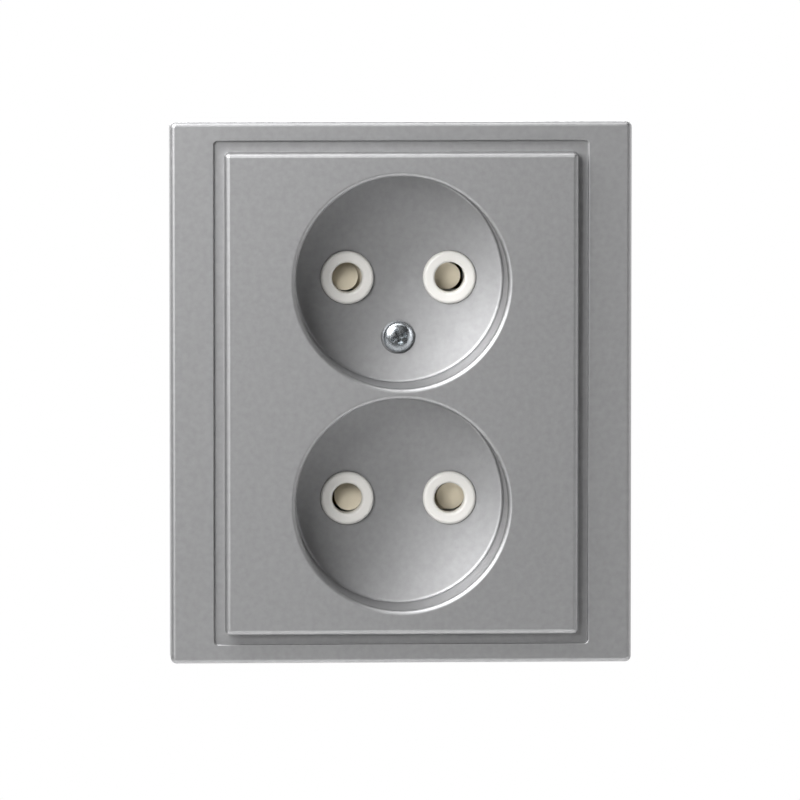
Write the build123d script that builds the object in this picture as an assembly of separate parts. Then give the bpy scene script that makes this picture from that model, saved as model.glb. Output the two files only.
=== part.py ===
from build123d import *
import math
import os

# Flush socket outlet for two two-pole plugs, one above the other.
# Pieces are drawn with x to the right, y up the wall and z out of the wall, with z = 0 on the wall.
# stand_up() turns each finished piece, so that the outlet faces -Y and +Z is up.
# Sizes are millimetres and degrees.

# Plug wells
well_radius = 19.5
well_depth = 15.0
well_rim_round = 0.8
well_floor_bevel = 0.8
well_land = 0.4  # flat strip left between the two rims
well_sides = 20  # facets on the hidden outside of a well

# Pin entries
pin_spacing = 19.0
pin_hole_dia = 5.75
pin_ring_dia = 9.6
pin_ring_proud = 0.7  # ring face above the well floor
pin_ring_bevel = 0.35
pin_ring_clearance = 0.15

# Cover plate
cover_wall = 1.6
plate_side_margin = 13.25  # well mouth to plate side
plate_end_margin = 4.75  # well mouth to plate end
plate_rise = 3.0  # plate face above the frame face
plate_edge_round = 0.8
tab_length = 8.0
tab_thickness = 1.2
tab_clearance = 0.15
tab_depth = 2.6  # below the ledge

# Frame
plate_gap = 1.7  # channel between plate and frame window
frame_side_rail = 8.05
frame_end_rail = 3.55
frame_depth = 8.0
frame_wall = 1.8
frame_corner_round = 1.2
frame_edge_round = 0.9
window_edge_round = 0.4
ledge_drop = 0.8
ledge_reach = 2.4  # ledge under the plate edge
ledge_thickness = 1.5
lip_thickness = 1.2
lip_depth = 3.5
frame_rib = 1.0
ribs_per_rail = 3

# Cover screw and nut
screw_drop = 11.0  # below the upper pin axis
screw_dia = 3.0
screw_hole_clearance = 0.2
screw_head_dia = 5.8
screw_head_side = 1.45
screw_head_bevel = 0.45
screw_head_height = 1.9
screw_seat_clearance = 0.25
screw_seat_depth = 0.6
screw_overrun = 1.5  # screw end past the nut
recess_length = 3.2
recess_width = 0.85
recess_depth = 1.3
recess_turn = 18.0
nut_size = 5.5
nut_thickness = 1.8
nut_clearance = 0.1
thread_clearance = 0.03

# Shutters and the housings round them
guide_wall = 1.4
guide_corner_cut = 1.2
guide_seam = 0.3  # gap between the two housings
guide_margin = 0.2
guide_end_room = 0.6
guide_side_room = 0.7
foot_length = 4.0
foot_clearance = 0.1
pillar_wall = 1.3
shutter_float = 0.15  # play above and below a shutter
shutter_play = 0.35  # sideways play of a shutter on its post
arm_thickness = 2.4
arm_width = 5.0
ramp_rise = 2.0
pad_inset = 0.325  # pad radius below the pin hole radius
pad_overtravel = 0.2
post_dia = 3.0
post_clearance = 0.05
stop_size = 2.0
stop_reach = 5.0  # stop distance from the post along the arm
stop_gap = 0.1
spring_thickness = 0.25
spring_width = 2.4
spring_bend = 1.2
spring_gap = 0.1
spring_peg = 1.4

# Contact cover and base
bed_thickness = 1.8
bed_pin_window = 5.4  # square
base_wall = 1.6
base_corner_cut = 2.0
chamber_depth = 11.5
chamber_gap = 0.3
hook_x = 10.0
hook_width = 5.0
hook_thickness = 1.2
hook_length = 6.0
hook_barb = 0.7
hook_catch = 4.0  # catch face below the contact cover
hook_clearance = 0.15

# Contact rails
strip = 0.8
strip_bend = 0.5
fork_half = 2.5
fork_width = 6.0
fork_height = 10.6
nip_half = 1.8
nip_height = 8.0
mouth_half = 2.9
spine_width = 5.0
terminal_offset = 2.6  # terminal wall from the pin axis
terminal_height = 8.5

# Terminals
wire_entry_dia = 3.2
wire_web = 0.85  # wall between a wire entry and the lever slot
button_size = 3.8
button_proud = 1.5
lever_float = 0.15
lever_clearance = 0.15
bar_width = 1.6
bar_thickness = 1.2
bar_gap = 0.3
clamp_thickness = 0.4
clamp_width = 5.0
clamp_bend = 0.8
clamp_gap = 0.45  # clamp bend above the lever bar
clamp_leg_height = 10.0
clamp_tip_height = 8.0
clamp_tip_gap = 0.3
spring_room = 2.0

# Support strap
box_screw_spacing = 60.0
box_slot_length = 7.0
box_slot_width = 3.6
box_slot_edge = 2.0
strap_thickness = 1.2
strap_bar = 4.0
strap_corner_cut = 3.0
strap_window_cut = 10.0
strap_well_gap = 0.6
strap_bend = 1.2
leg_width = 12.0
leg_gap = 0.05
leg_relief = 0.8
leg_past_latch = 2.5
latch_width = 5.0
latch_height = 2.6
latch_proud = 0.9
latch_clearance = 0.15
latch_drop = 2.5  # latch top below the contact cover

# Places across and up the wall
pin_x = pin_spacing / 2
socket_pitch = 2 * (well_radius + well_rim_round) + well_land
socket_y = socket_pitch / 2
socket_ys = (socket_y, -socket_y)
pin_points = [(x, y) for x in (pin_x, -pin_x) for y in socket_ys]
screw_y = socket_y - screw_drop
plate_width = 2 * (well_radius + plate_side_margin)
plate_length = socket_pitch + 2 * (well_radius + plate_end_margin)
window_width = plate_width + 2 * plate_gap
window_length = plate_length + 2 * plate_gap
frame_width = window_width + 2 * frame_side_rail
frame_length = window_length + 2 * frame_end_rail
ledge_half_width = plate_width / 2 - ledge_reach
ledge_half_length = plate_length / 2 - ledge_reach

# Heights above the wall
ledge_top = frame_depth - ledge_drop
ledge_back = ledge_top - ledge_thickness
plate_top = frame_depth + plate_rise
plate_back = plate_top - cover_wall
floor_top = plate_top - well_depth
floor_back = floor_top - cover_wall
ring_top = floor_top + pin_ring_proud
seat_top = floor_top - screw_seat_depth
guide_ceiling = floor_back - guide_wall
shutter_top = guide_ceiling - shutter_float
shutter_back = shutter_top - ramp_rise - arm_thickness
bed_top = shutter_back - shutter_float
bed_back = bed_top - bed_thickness
chamber_floor = bed_back - chamber_depth
base_back = chamber_floor - base_wall
screw_end = bed_back - nut_thickness - screw_overrun

# Shutter travel and the room that it needs
pad_radius = pin_hole_dia / 2 - pad_inset
pad_chord = pin_hole_dia / 2 + pad_radius + pad_overtravel
open_angle = math.degrees(2 * math.asin(pad_chord / 2 / (pin_x - shutter_play)))
pad_sweep = shutter_play + pad_radius
pad_reach = (pin_x + shutter_play) * math.sin(math.radians(open_angle)) + pad_radius
guide_end = socket_y + pad_reach + guide_end_room + guide_wall
guide_half_width = pin_x + max(
    pin_ring_dia / 2 + guide_margin, pad_sweep + guide_side_room + guide_wall
)

# Terminals, counted outwards from the middle
terminal_x = pin_x + terminal_offset
terminal_face = terminal_x + strip
wire_x = terminal_face + wire_entry_dia / 2
wire_pitch = button_size + 2 * (lever_clearance + wire_web) + wire_entry_dia
bar_inner = wire_x + wire_entry_dia / 2 + bar_gap
bar_outer = bar_inner + bar_width
bar_top = chamber_floor + lever_float + bar_thickness
chamber_x = bar_outer + spring_room
terminal_half = (wire_pitch + clamp_width) / 2 + chamber_gap
base_half_width = chamber_x + base_wall
base_half_length = guide_end
latch_top = bed_back - latch_drop

half_turn = Rot(0, 0, 180)
screw_hole_dia = screw_dia + 2 * screw_hole_clearance
stop_offset = arm_width / 2 + stop_gap + stop_size / 2
past = 1.0  # how far a cutting tool runs past the face it cuts
slack = 0.01  # allowed when an edge is picked by its place
fold_share = 0.4  # most of a leg that one fold may take


def stand_up(piece):
    """Turn a piece from its drawing position to its place on the wall."""
    return Rot(90, 0, 0) * piece


def block(x0, x1, y0, y1, z0, z1):
    """Box between two corners."""
    return Pos((x0 + x1) / 2, (y0 + y1) / 2, (z0 + z1) / 2) * Box(x1 - x0, y1 - y0, z1 - z0)


def slab(outline, z0, z1):
    """Flat outline raised from z0 to z1."""
    return extrude(Pos(0, 0, z0) * outline, amount=z1 - z0)


def rod(x, y, dia, z0, z1):
    """Round bar along z."""
    return Pos(x, y, (z0 + z1) / 2) * Cylinder(dia / 2, z1 - z0)


def turned(points):
    """Solid of revolution about z, from (radius, z) points."""
    return revolve(Plane.XZ * make_face(Polyline(*points, close=True)), Axis.Z)


def across(profile, width):
    """(x, z) profile given an even width along y."""
    return Rot(90, 0, 0) * extrude(profile, amount=width / 2, both=True)


def folded(points, bend, thickness):
    """Face of a folded strip whose middle line follows the points, each fold in two facets."""
    corners = [Vector(*point) for point in points]
    path = corners[:1]
    for before, fold, after in zip(corners, corners[1:], corners[2:]):
        reach = min(bend, fold_share * (before - fold).length, fold_share * (after - fold).length)
        path.append(fold + (before - fold).normalized() * reach)
        path.append(fold + (after - fold).normalized() * reach)
    path += corners[-1:]
    ways = [(b - a).normalized() for a, b in zip(path, path[1:])]
    left = []
    right = []
    for here, way_in, way_out in zip(path, ways[:1] + ways, ways + ways[-1:]):
        along = (way_in + way_out).normalized()
        side = Vector(-along.Y, along.X) * (thickness / 2 / along.dot(way_in))
        left.append(here + side)
        right.append(here - side)
    return make_face(Polyline(*left, *reversed(right), close=True))


def cut_corners(width, length, cut):
    """Rectangle with its corners cut off."""
    outline = Rectangle(width, length)
    return chamfer(outline.vertices(), cut)


def wedge(points, width):
    """(y, z) profile given an even width along x."""
    return extrude(Plane.YZ * make_face(Polyline(*points, close=True)), amount=width / 2, both=True)


def inside(edge, half_width, half_length):
    """Whether an edge lies within a rectangle about the middle."""
    middle = edge.center()
    return abs(middle.X) <= half_width + slack and abs(middle.Y) <= half_length + slack


def make_cover_frame():
    """Outer frame: a hollow-backed moulding with a stepped ledge round its window."""
    frame = slab(RectangleRounded(frame_width, frame_length, frame_corner_round), 0, frame_depth)
    frame = fillet(frame.faces().sort_by(Axis.Z)[-1].edges(), frame_edge_round)
    inner_width = frame_width - 2 * frame_wall
    inner_length = frame_length - 2 * frame_wall
    lip_width = 2 * (ledge_half_width + lip_thickness)
    lip_length = 2 * (ledge_half_length + lip_thickness)
    lip_back = ledge_back - lip_depth
    frame -= slab(Rectangle(inner_width, inner_length), -past, ledge_back)
    frame += slab(Rectangle(lip_width, lip_length), lip_back, ledge_back)
    rib_step_x = lip_width / (ribs_per_rail + 1)
    rib_step_y = lip_length / (ribs_per_rail + 1)
    for i in range(ribs_per_rail):
        x = (i + 1) * rib_step_x - lip_width / 2
        y = (i + 1) * rib_step_y - lip_length / 2
        frame += block(x - frame_rib / 2, x + frame_rib / 2,
                       -frame_length / 2 + frame_wall / 2, frame_length / 2 - frame_wall / 2,
                       lip_back, ledge_back)
        frame += block(-frame_width / 2 + frame_wall / 2, frame_width / 2 - frame_wall / 2,
                       y - frame_rib / 2, y + frame_rib / 2,
                       lip_back, ledge_back)
    frame -= slab(Rectangle(2 * ledge_half_width, 2 * ledge_half_length), -past, frame_depth + past)
    frame -= slab(Rectangle(window_width, window_length), ledge_top, frame_depth + past)
    top_edges = frame.edges().filter_by_position(Axis.Z, frame_depth - slack, frame_depth + slack)
    window_edges = [e for e in top_edges if inside(e, window_width / 2, window_length / 2)]
    return fillet(window_edges, window_edge_round)


def make_well():
    """Cutting tool for a plug well: straight wall, bevelled floor edge and a rim eased in two steps."""
    ease = well_rim_round * (1 - math.sqrt(0.5))
    return turned([
        (0, floor_top),
        (well_radius - well_floor_bevel, floor_top),
        (well_radius, floor_top + well_floor_bevel),
        (well_radius, plate_top - well_rim_round),
        (well_radius + ease, plate_top - ease),
        (well_radius + well_rim_round, plate_top),
        (0, plate_top),
    ])


def make_socket_cover():
    """Centre plate with both wells: its skirt clamps the frame's ledge, its tabs centre the frame."""
    plate = slab(Rectangle(plate_width, plate_length), ledge_top, plate_top)
    plate = fillet(plate.faces().sort_by(Axis.Z)[-1].edges(), plate_edge_round)
    cover = plate - slab(Rectangle(plate_width - 2 * cover_wall, plate_length - 2 * cover_wall),
                         ledge_top - past, plate_back)
    tab_end = ledge_top - tab_depth
    for sign in (1, -1):
        side = sign * (ledge_half_width - tab_clearance - tab_thickness / 2)
        end = sign * (ledge_half_length - tab_clearance - tab_thickness / 2)
        for place in (1, -1):
            y = place * plate_length / 4
            x = place * plate_width / 4
            cover += block(side - tab_thickness / 2, side + tab_thickness / 2,
                           y - tab_length / 2, y + tab_length / 2, tab_end, plate_back)
            cover += block(x - tab_length / 2, x + tab_length / 2,
                           end - tab_thickness / 2, end + tab_thickness / 2, tab_end, plate_back)
    outside = RegularPolygon(well_radius + cover_wall, well_sides, major_radius=False)
    for y in socket_ys:
        cover += Pos(0, y, 0) * slab(outside, floor_back, plate_back + cover_wall / 2)
    for y in socket_ys:
        cover -= Pos(0, y, 0) * make_well()
    for x, y in pin_points:
        cover -= rod(x, y, pin_ring_dia + 2 * pin_ring_clearance, floor_back - past, floor_top + past)
    cover -= rod(0, screw_y, screw_head_dia + 2 * screw_seat_clearance, seat_top, floor_top + past)
    return cover - rod(0, screw_y, screw_hole_dia, floor_back - past, floor_top)


def make_cover_screw():
    """Pan-head machine screw with a cross recess."""
    head_radius = screw_head_dia / 2
    top = seat_top + screw_head_height
    screw = turned([
        (0, screw_end),
        (screw_dia / 2, screw_end),
        (screw_dia / 2, seat_top),
        (head_radius, seat_top),
        (head_radius, seat_top + screw_head_side),
        (head_radius - screw_head_bevel, top),
        (0, top),
    ])
    for turn in (0, 90):
        screw -= Rot(0, 0, recess_turn + turn) * block(
            -recess_length / 2, recess_length / 2, -recess_width / 2, recess_width / 2,
            top - recess_depth, top + past)
    return Pos(0, screw_y, 0) * screw


def make_cover_screw_nut():
    """Square nut under the contact cover."""
    half = nut_size / 2
    nut = block(-half, half, -half, half, bed_back - nut_thickness, bed_back)
    nut -= rod(0, 0, screw_dia + 2 * thread_clearance, bed_back - nut_thickness - past, bed_back + past)
    return Pos(0, screw_y, 0) * nut


def screw_passage(z0, z1):
    """Cutting tool for the square way of the cover screw through a hidden moulding."""
    half = screw_hole_dia / 2
    return block(-half, half, screw_y - half, screw_y + half, z0 - past, z1 + past)


def make_pin_guide():
    """Upper shutter housing: a box open at the back, with two pin rings and the screw pillar."""
    length = guide_end - guide_seam / 2
    middle = guide_end - length / 2
    outline = cut_corners(2 * guide_half_width, length, guide_corner_cut)
    hollow = Rectangle(2 * (guide_half_width - guide_wall), length - 2 * guide_wall)
    shell = slab(outline, bed_top, floor_back) - slab(hollow, bed_top - past, guide_ceiling)
    guide = Pos(0, middle, 0) * shell
    pillar = screw_hole_dia / 2 + pillar_wall
    guide += block(-pillar, pillar, screw_y - pillar, screw_y + pillar, bed_top, guide_ceiling)
    guide -= screw_passage(bed_top, floor_back)
    ring_radius = pin_ring_dia / 2
    ring = turned([
        (0, guide_ceiling + guide_wall / 2),
        (ring_radius, guide_ceiling + guide_wall / 2),
        (ring_radius, ring_top - pin_ring_bevel),
        (ring_radius - pin_ring_bevel, ring_top),
        (0, ring_top),
    ])
    for side in (1, -1):
        guide += Pos(side * pin_x, socket_y, 0) * ring
        foot_inner = side * (guide_half_width - guide_wall)
        foot_outer = side * guide_half_width
        guide += block(min(foot_inner, foot_outer), max(foot_inner, foot_outer),
                       socket_y - foot_length / 2, socket_y + foot_length / 2,
                       bed_back + foot_clearance, bed_top + guide_wall)
    for side in (1, -1):
        guide -= rod(side * pin_x, socket_y, pin_hole_dia, guide_ceiling - past, ring_top + past)
    return guide


def make_shutter():
    """Upper rotary shutter: two ramped pads on one arm, with a slotted pivot hole so that one pin jams it."""
    arm_top = shutter_back + arm_thickness
    shutter = block(-pin_x, pin_x, -arm_width / 2, arm_width / 2, shutter_back, arm_top)
    pad = rod(0, 0, 2 * pad_radius, shutter_back, shutter_top)
    pad -= wedge([
        (-pad_radius - past, arm_top - past * ramp_rise / (2 * pad_radius)),
        (pad_radius, shutter_top),
        (pad_radius + past, shutter_top + past),
        (-pad_radius - past, shutter_top + past),
    ], 2 * pad_radius + past)
    shutter += Pos(pin_x, 0, 0) * pad
    shutter += Pos(-pin_x, 0, 0) * half_turn * pad
    slot_half = post_dia / 2 + post_clearance
    shutter -= block(-slot_half - shutter_play, slot_half + shutter_play, -slot_half, slot_half,
                     shutter_back - past, arm_top + past)
    return Pos(-shutter_play, socket_y, 0) * shutter


def make_shutter_spring():
    """Upper hairpin leaf: one leg along the housing's end wall, the other on the shutter's arm."""
    wall_y = guide_end - guide_wall - socket_y - spring_thickness / 2
    arm_y = arm_width / 2 + spring_gap + spring_thickness / 2
    bend_x = -pin_x + pad_radius
    bend_y = (wall_y + arm_y) / 2
    path = [(stop_reach, wall_y), (bend_x, wall_y), (bend_x, bend_y), (stop_reach, arm_y)]
    leaf = slab(folded(path, spring_bend, spring_thickness), bed_top, bed_top + spring_width)
    return Pos(0, socket_y, 0) * leaf


def make_shutter_seat():
    """What the contact cover has under the upper shutter: pivot post, two stops and the spring's peg."""
    seat = rod(0, 0, post_dia, bed_back, guide_ceiling - shutter_float)
    half = stop_size / 2
    stop = block(-half, half, -half, half, bed_back, shutter_back + arm_thickness)
    seat += Pos(stop_reach, -stop_offset, 0) * stop
    seat += Rot(0, 0, open_angle) * Pos(-stop_reach, -stop_offset, 0) * stop
    wall_y = guide_end - guide_wall - socket_y
    arm_y = arm_width / 2 + spring_gap
    peg_x = -pin_x + pad_radius + spring_bend + spring_peg / 2
    peg_y = wall_y - (wall_y - arm_y) / 4
    half = spring_peg / 2
    seat += block(peg_x - half, peg_x + half, peg_y - half, peg_y + half,
                  bed_back, bed_top + spring_width)
    return Pos(0, socket_y, 0) * seat


def make_hook(clearance, overshoot):
    """Snap hook at the upper end of the contact cover, or its pocket in the base when given a clearance."""
    root = base_half_length - hook_thickness - clearance
    tip = bed_back - hook_length - clearance
    catch = bed_back - hook_catch - hook_clearance + clearance
    barb = root - hook_barb - clearance
    half = hook_width / 2 + clearance
    hook = block(-half, half, root, base_half_length + overshoot, tip, bed_back + overshoot)
    return hook + wedge([(root, catch), (barb, catch), (barb, catch - hook_barb), (root, tip)], 2 * half)


def make_contact_cover():
    """Insulating plate over the contact chambers, with the shutter seats and four snap hooks."""
    outline = cut_corners(2 * base_half_width, 2 * base_half_length, base_corner_cut)
    cover = slab(outline, bed_back, bed_top)
    pin_half = bed_pin_window / 2
    for x, y in pin_points:
        cover -= block(x - pin_half, x + pin_half, y - pin_half, y + pin_half,
                       bed_back - past, bed_top + past)
    foot_half = foot_length / 2 + foot_clearance
    foot_inner = guide_half_width - guide_wall - foot_clearance
    foot_outer = guide_half_width + foot_clearance
    for y in socket_ys:
        for x0, x1 in ((foot_inner, foot_outer), (-foot_outer, -foot_inner)):
            cover -= block(x0, x1, y - foot_half, y + foot_half, bed_back - past, bed_top + past)
    cover -= screw_passage(bed_back, bed_top)
    seat = make_shutter_seat()
    cover += seat
    cover += half_turn * seat
    for x in (hook_x, -hook_x):
        hook = Pos(x, 0, 0) * make_hook(0, 0)
        cover += hook
        cover += half_turn * hook
    return cover


def make_socket_base():
    """Moulded body: contact chambers open to the front, wire entries and lever slots at the back."""
    outline = cut_corners(2 * base_half_width, 2 * base_half_length, base_corner_cut)
    base = slab(outline, base_back, bed_back)
    fork_room = mouth_half + strip + chamber_gap
    spine_room = spine_width / 2 + chamber_gap
    fork_reach = fork_width / 2 + chamber_gap
    chamber_half = terminal_half + chamber_gap
    chambers = block(pin_x - spine_room, pin_x + spine_room, -socket_y, socket_y,
                     chamber_floor, bed_back + past)
    chambers += block(pin_x - spine_room, chamber_x, -chamber_half, chamber_half,
                      chamber_floor, bed_back + past)
    chambers += block(bar_outer - button_size - lever_clearance, bar_outer + lever_clearance,
                      -button_size / 2 - lever_clearance, button_size / 2 + lever_clearance,
                      base_back - past, chamber_floor + past)
    for y in socket_ys:
        chambers += block(pin_x - fork_room, pin_x + fork_room, y - fork_reach, y + fork_reach,
                          chamber_floor, bed_back + past)
    for y in (wire_pitch / 2, -wire_pitch / 2):
        chambers += rod(wire_x, y, wire_entry_dia, base_back - past, chamber_floor + past)
    base -= chambers
    base -= half_turn * chambers
    pocket = nut_size / 2 + nut_clearance
    base -= block(-pocket, pocket, screw_y - pocket, screw_y + pocket,
                  bed_back - nut_thickness - nut_clearance, bed_back + past)
    base -= screw_passage(screw_end, bed_back)
    for x in (hook_x, -hook_x):
        pocket = Pos(x, 0, 0) * make_hook(hook_clearance, past)
        base -= pocket
        base -= half_turn * pocket
    side = base_half_width
    latch = make_face(Polyline(
        (side - base_wall / 2, latch_top),
        (side + latch_proud / 2, latch_top),
        (side + latch_proud, latch_top - latch_height),
        (side - base_wall / 2, latch_top - latch_height),
        close=True,
    ))
    latch = across(latch, latch_width)
    base += latch
    base += half_turn * latch
    return base


def make_rail():
    """Neutral rail: one strip with a fork under each pin entry and a terminal wall between them."""
    middle = strip / 2
    fork_points = [
        (mouth_half + middle, fork_height),
        (nip_half + middle, nip_height),
        (fork_half + middle, middle),
        (-fork_half - middle, middle),
        (-nip_half - middle, nip_height),
        (-mouth_half - middle, fork_height),
    ]
    fork = across(folded(fork_points, strip_bend, strip), fork_width)
    spine_end = socket_y - fork_width / 2 + strip
    rail = block(-spine_width / 2, spine_width / 2, -spine_end, spine_end, 0, strip)
    for y in socket_ys:
        rail += Pos(0, y, 0) * fork
    terminal_middle = terminal_offset + middle
    terminal_points = [(0, middle), (terminal_middle, middle), (terminal_middle, terminal_height)]
    rail += across(folded(terminal_points, strip_bend, strip), 2 * terminal_half)
    return Pos(pin_x, 0, chamber_floor) * rail


def make_clamp_spring(y):
    """Terminal leaf on the neutral side: its bent leg presses a wire on the terminal wall."""
    middle = clamp_thickness / 2
    low = bar_top + clamp_gap + middle
    points = [
        (chamber_x - middle, chamber_floor + clamp_leg_height),
        (chamber_x - middle, low),
        (bar_outer, low),
        (terminal_face + clamp_tip_gap, chamber_floor + clamp_tip_height),
    ]
    return Pos(0, y, 0) * across(folded(points, clamp_bend, clamp_thickness), clamp_width)


def make_release_lever():
    """Neutral lever: a push button through the back, with a bar under both clamp springs."""
    half = button_size / 2
    bar_half = (wire_pitch + clamp_width) / 2 - chamber_gap
    lever = block(bar_outer - button_size, bar_outer, -half, half, base_back - button_proud, bar_top)
    return lever + block(bar_inner, bar_outer, -bar_half, bar_half, chamber_floor + lever_float, bar_top)


def make_support_strap():
    """Plated strap on the wall: it frames the wells, takes the box screws and holds the base."""
    hole_radius = well_radius + cover_wall + strap_well_gap
    width = box_screw_spacing + box_slot_length + 2 * box_slot_edge
    window_half_length = socket_y + hole_radius
    length = 2 * (window_half_length + strap_bar)
    strap = slab(cut_corners(width, length, strap_corner_cut), 0, strap_thickness)
    window = cut_corners(2 * hole_radius, 2 * window_half_length, strap_window_cut)
    strap -= slab(window, -past, strap_thickness + past)
    middle = strap_thickness / 2
    leg_x = base_half_width + leg_gap + middle
    leg_end = latch_top - latch_height - leg_past_latch
    notch_x = leg_x + strap_bend
    notch_y = leg_width / 2 + leg_relief
    root_x = (notch_x + width / 2) / 2
    leg_points = [(root_x, middle), (leg_x, middle), (leg_x, leg_end)]
    leg = across(folded(leg_points, strap_bend, strap_thickness), leg_width)
    window_half = latch_width / 2 + latch_clearance
    leg -= block(leg_x - strap_thickness, leg_x + strap_thickness, -window_half, window_half,
                 latch_top - latch_height - latch_clearance, latch_top)
    slot = Pos(box_screw_spacing / 2, 0, 0) * SlotOverall(box_slot_length, box_slot_width)
    slot = slab(slot, -past, strap_thickness + past)
    for turn in (Rot(0, 0, 0), half_turn):
        strap -= turn * block(0, notch_x, -notch_y, notch_y, -past, strap_thickness + past)
        strap += turn * leg
        strap -= turn * slot
    return strap


def main():
    """Build every piece and write it to parts/."""
    guide = make_pin_guide()
    shutter = make_shutter()
    shutter_spring = make_shutter_spring()
    rail = make_rail()
    lever = make_release_lever()
    upper_clamp = make_clamp_spring(wire_pitch / 2)
    lower_clamp = make_clamp_spring(-wire_pitch / 2)
    pieces = {
        "cover_frame": make_cover_frame(),
        "socket_cover": make_socket_cover(),
        "cover_screw": make_cover_screw(),
        "cover_screw_nut": make_cover_screw_nut(),
        "upper_pin_guide": guide,
        "lower_pin_guide": half_turn * guide,
        "upper_shutter": shutter,
        "lower_shutter": half_turn * shutter,
        "upper_shutter_spring": shutter_spring,
        "lower_shutter_spring": half_turn * shutter_spring,
        "contact_cover": make_contact_cover(),
        "socket_base": make_socket_base(),
        "neutral_rail": rail,
        "line_rail": half_turn * rail,
        "neutral_upper_clamp": upper_clamp,
        "neutral_lower_clamp": lower_clamp,
        "line_upper_clamp": half_turn * lower_clamp,
        "line_lower_clamp": half_turn * upper_clamp,
        "neutral_release_lever": lever,
        "line_release_lever": half_turn * lever,
        "support_strap": make_support_strap(),
    }
    os.makedirs("parts", exist_ok=True)
    for name, piece in pieces.items():
        export_step(stand_up(piece), f"parts/{name}.step")


main()
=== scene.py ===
"""Looks of the double wall socket: finely modelled pieces, finishes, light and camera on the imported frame.

Pieces are drawn large, one unit to the millimetre, with x to the right, y up the wall and z out of the wall.
They are then stood up at their real size, so that the socket faces -Y with +Z up and the wall plane at y = 0.
"""

from __future__ import annotations

import logging
import math
from contextlib import contextmanager
from dataclasses import dataclass
from enum import Enum
from typing import Callable, Iterator, Sequence

import bmesh
import bpy
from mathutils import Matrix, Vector

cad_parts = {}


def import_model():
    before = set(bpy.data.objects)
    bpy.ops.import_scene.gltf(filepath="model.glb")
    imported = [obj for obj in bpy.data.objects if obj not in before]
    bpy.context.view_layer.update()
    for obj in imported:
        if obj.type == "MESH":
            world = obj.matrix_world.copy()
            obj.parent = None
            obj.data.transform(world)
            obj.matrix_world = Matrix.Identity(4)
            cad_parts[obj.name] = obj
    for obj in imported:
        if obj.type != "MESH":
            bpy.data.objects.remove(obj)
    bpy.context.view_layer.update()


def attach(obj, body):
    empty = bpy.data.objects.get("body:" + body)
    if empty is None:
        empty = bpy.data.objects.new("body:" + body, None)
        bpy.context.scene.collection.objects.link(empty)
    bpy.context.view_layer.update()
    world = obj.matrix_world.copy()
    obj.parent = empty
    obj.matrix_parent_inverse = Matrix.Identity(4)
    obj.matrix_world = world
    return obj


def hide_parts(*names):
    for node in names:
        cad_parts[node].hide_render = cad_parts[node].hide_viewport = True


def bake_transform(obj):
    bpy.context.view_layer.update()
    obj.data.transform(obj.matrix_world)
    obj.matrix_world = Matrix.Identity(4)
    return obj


FULL_TURN = 2 * math.pi

# One millimetre in metres. The lengths below, and those of the pieces, are in millimetres
MM = 0.001
SEAM_MERGE = 0.001
MERGE = 0.002
SLACK = 0.02
OVERLAP = 1.0
SHORT_OVERLAP = 0.5
BUMP_DEPTH = 0.02

# Angles in degrees
FLAT_ANGLE = 1.0
EASE_ANGLE = 30.0
SMOOTH_ANGLE = 35.0
BENT_ANGLE = 40.0

# Shares without a unit
FACING = 0.9
NORMAL_WEIGHT = 80
GRAIN_ROUGHNESS = 0.55
GRAIN_SPAN = (0.3, 0.7)

Object = bpy.types.Object
Material = bpy.types.Material
NodeTree = bpy.types.NodeTree
Socket = bpy.types.NodeSocket
Colour = tuple[float, float, float]
Corner = tuple[float, float, float]
Pair = tuple[float, float]
Profile = Sequence[Pair]
EdgeTest = Callable[[Vector, Vector], bool]
FaceTest = Callable[[Vector, Vector], bool]

log = logging.getLogger("double_wall_socket")


class Pick(Enum):
    """What edit mode selects."""

    VERT = "VERT"
    EDGE = "EDGE"
    FACE = "FACE"


class Join(Enum):
    """How a tool body changes a piece."""

    CUT = "DIFFERENCE"
    ADD = "UNION"


class Body(Enum):
    """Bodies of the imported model."""

    HOUSING = "housing"
    UPPER_SHUTTER = "upper_shutter_body"
    LOWER_SHUTTER = "lower_shutter_body"
    NEUTRAL_LEVER = "neutral_lever_body"
    LINE_LEVER = "line_lever_body"


# Bench: modelling moves that every piece shares


def pick_only(obj: Object) -> None:
    """Make an object the only selected one, and the active one.

    Args:
        obj: the object.
    """
    bpy.ops.object.select_all(action="DESELECT")
    obj.select_set(True)
    bpy.context.view_layer.objects.active = obj


@contextmanager
def editing(obj: Object, pick: Pick) -> Iterator[None]:
    """Hold an object in edit mode with nothing selected.

    Args:
        obj: the mesh to edit.
        pick: the element type that is selected.

    Yields:
        Nothing, once the object is in edit mode.
    """
    pick_only(obj)
    bpy.ops.object.mode_set(mode="EDIT")
    bpy.ops.mesh.select_mode(type=pick.value)
    bpy.ops.mesh.select_all(action="DESELECT")
    yield
    bpy.ops.object.mode_set(mode="OBJECT")


def choose_edges(obj: Object, test: EdgeTest) -> None:
    """Select edges of a mesh in edit mode.

    Args:
        obj: the mesh.
        test: picks edges by their two end points in millimetres.
    """
    bpy.ops.mesh.select_mode(type=Pick.EDGE.value)
    bpy.ops.mesh.select_all(action="DESELECT")
    mesh = bmesh.from_edit_mesh(obj.data)
    for edge in mesh.edges:
        if test(edge.verts[0].co, edge.verts[1].co):
            edge.select_set(True)
    bmesh.update_edit_mesh(obj.data)


def choose_faces(obj: Object, test: FaceTest) -> None:
    """Select faces of a mesh in edit mode.

    Args:
        obj: the mesh.
        test: picks faces by their middle in millimetres and their normal.
    """
    bpy.ops.mesh.select_mode(type=Pick.FACE.value)
    bpy.ops.mesh.select_all(action="DESELECT")
    mesh = bmesh.from_edit_mesh(obj.data)
    for face in mesh.faces:
        if test(face.calc_center_median(), face.normal):
            face.select_set(True)
    bmesh.update_edit_mesh(obj.data)


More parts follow.
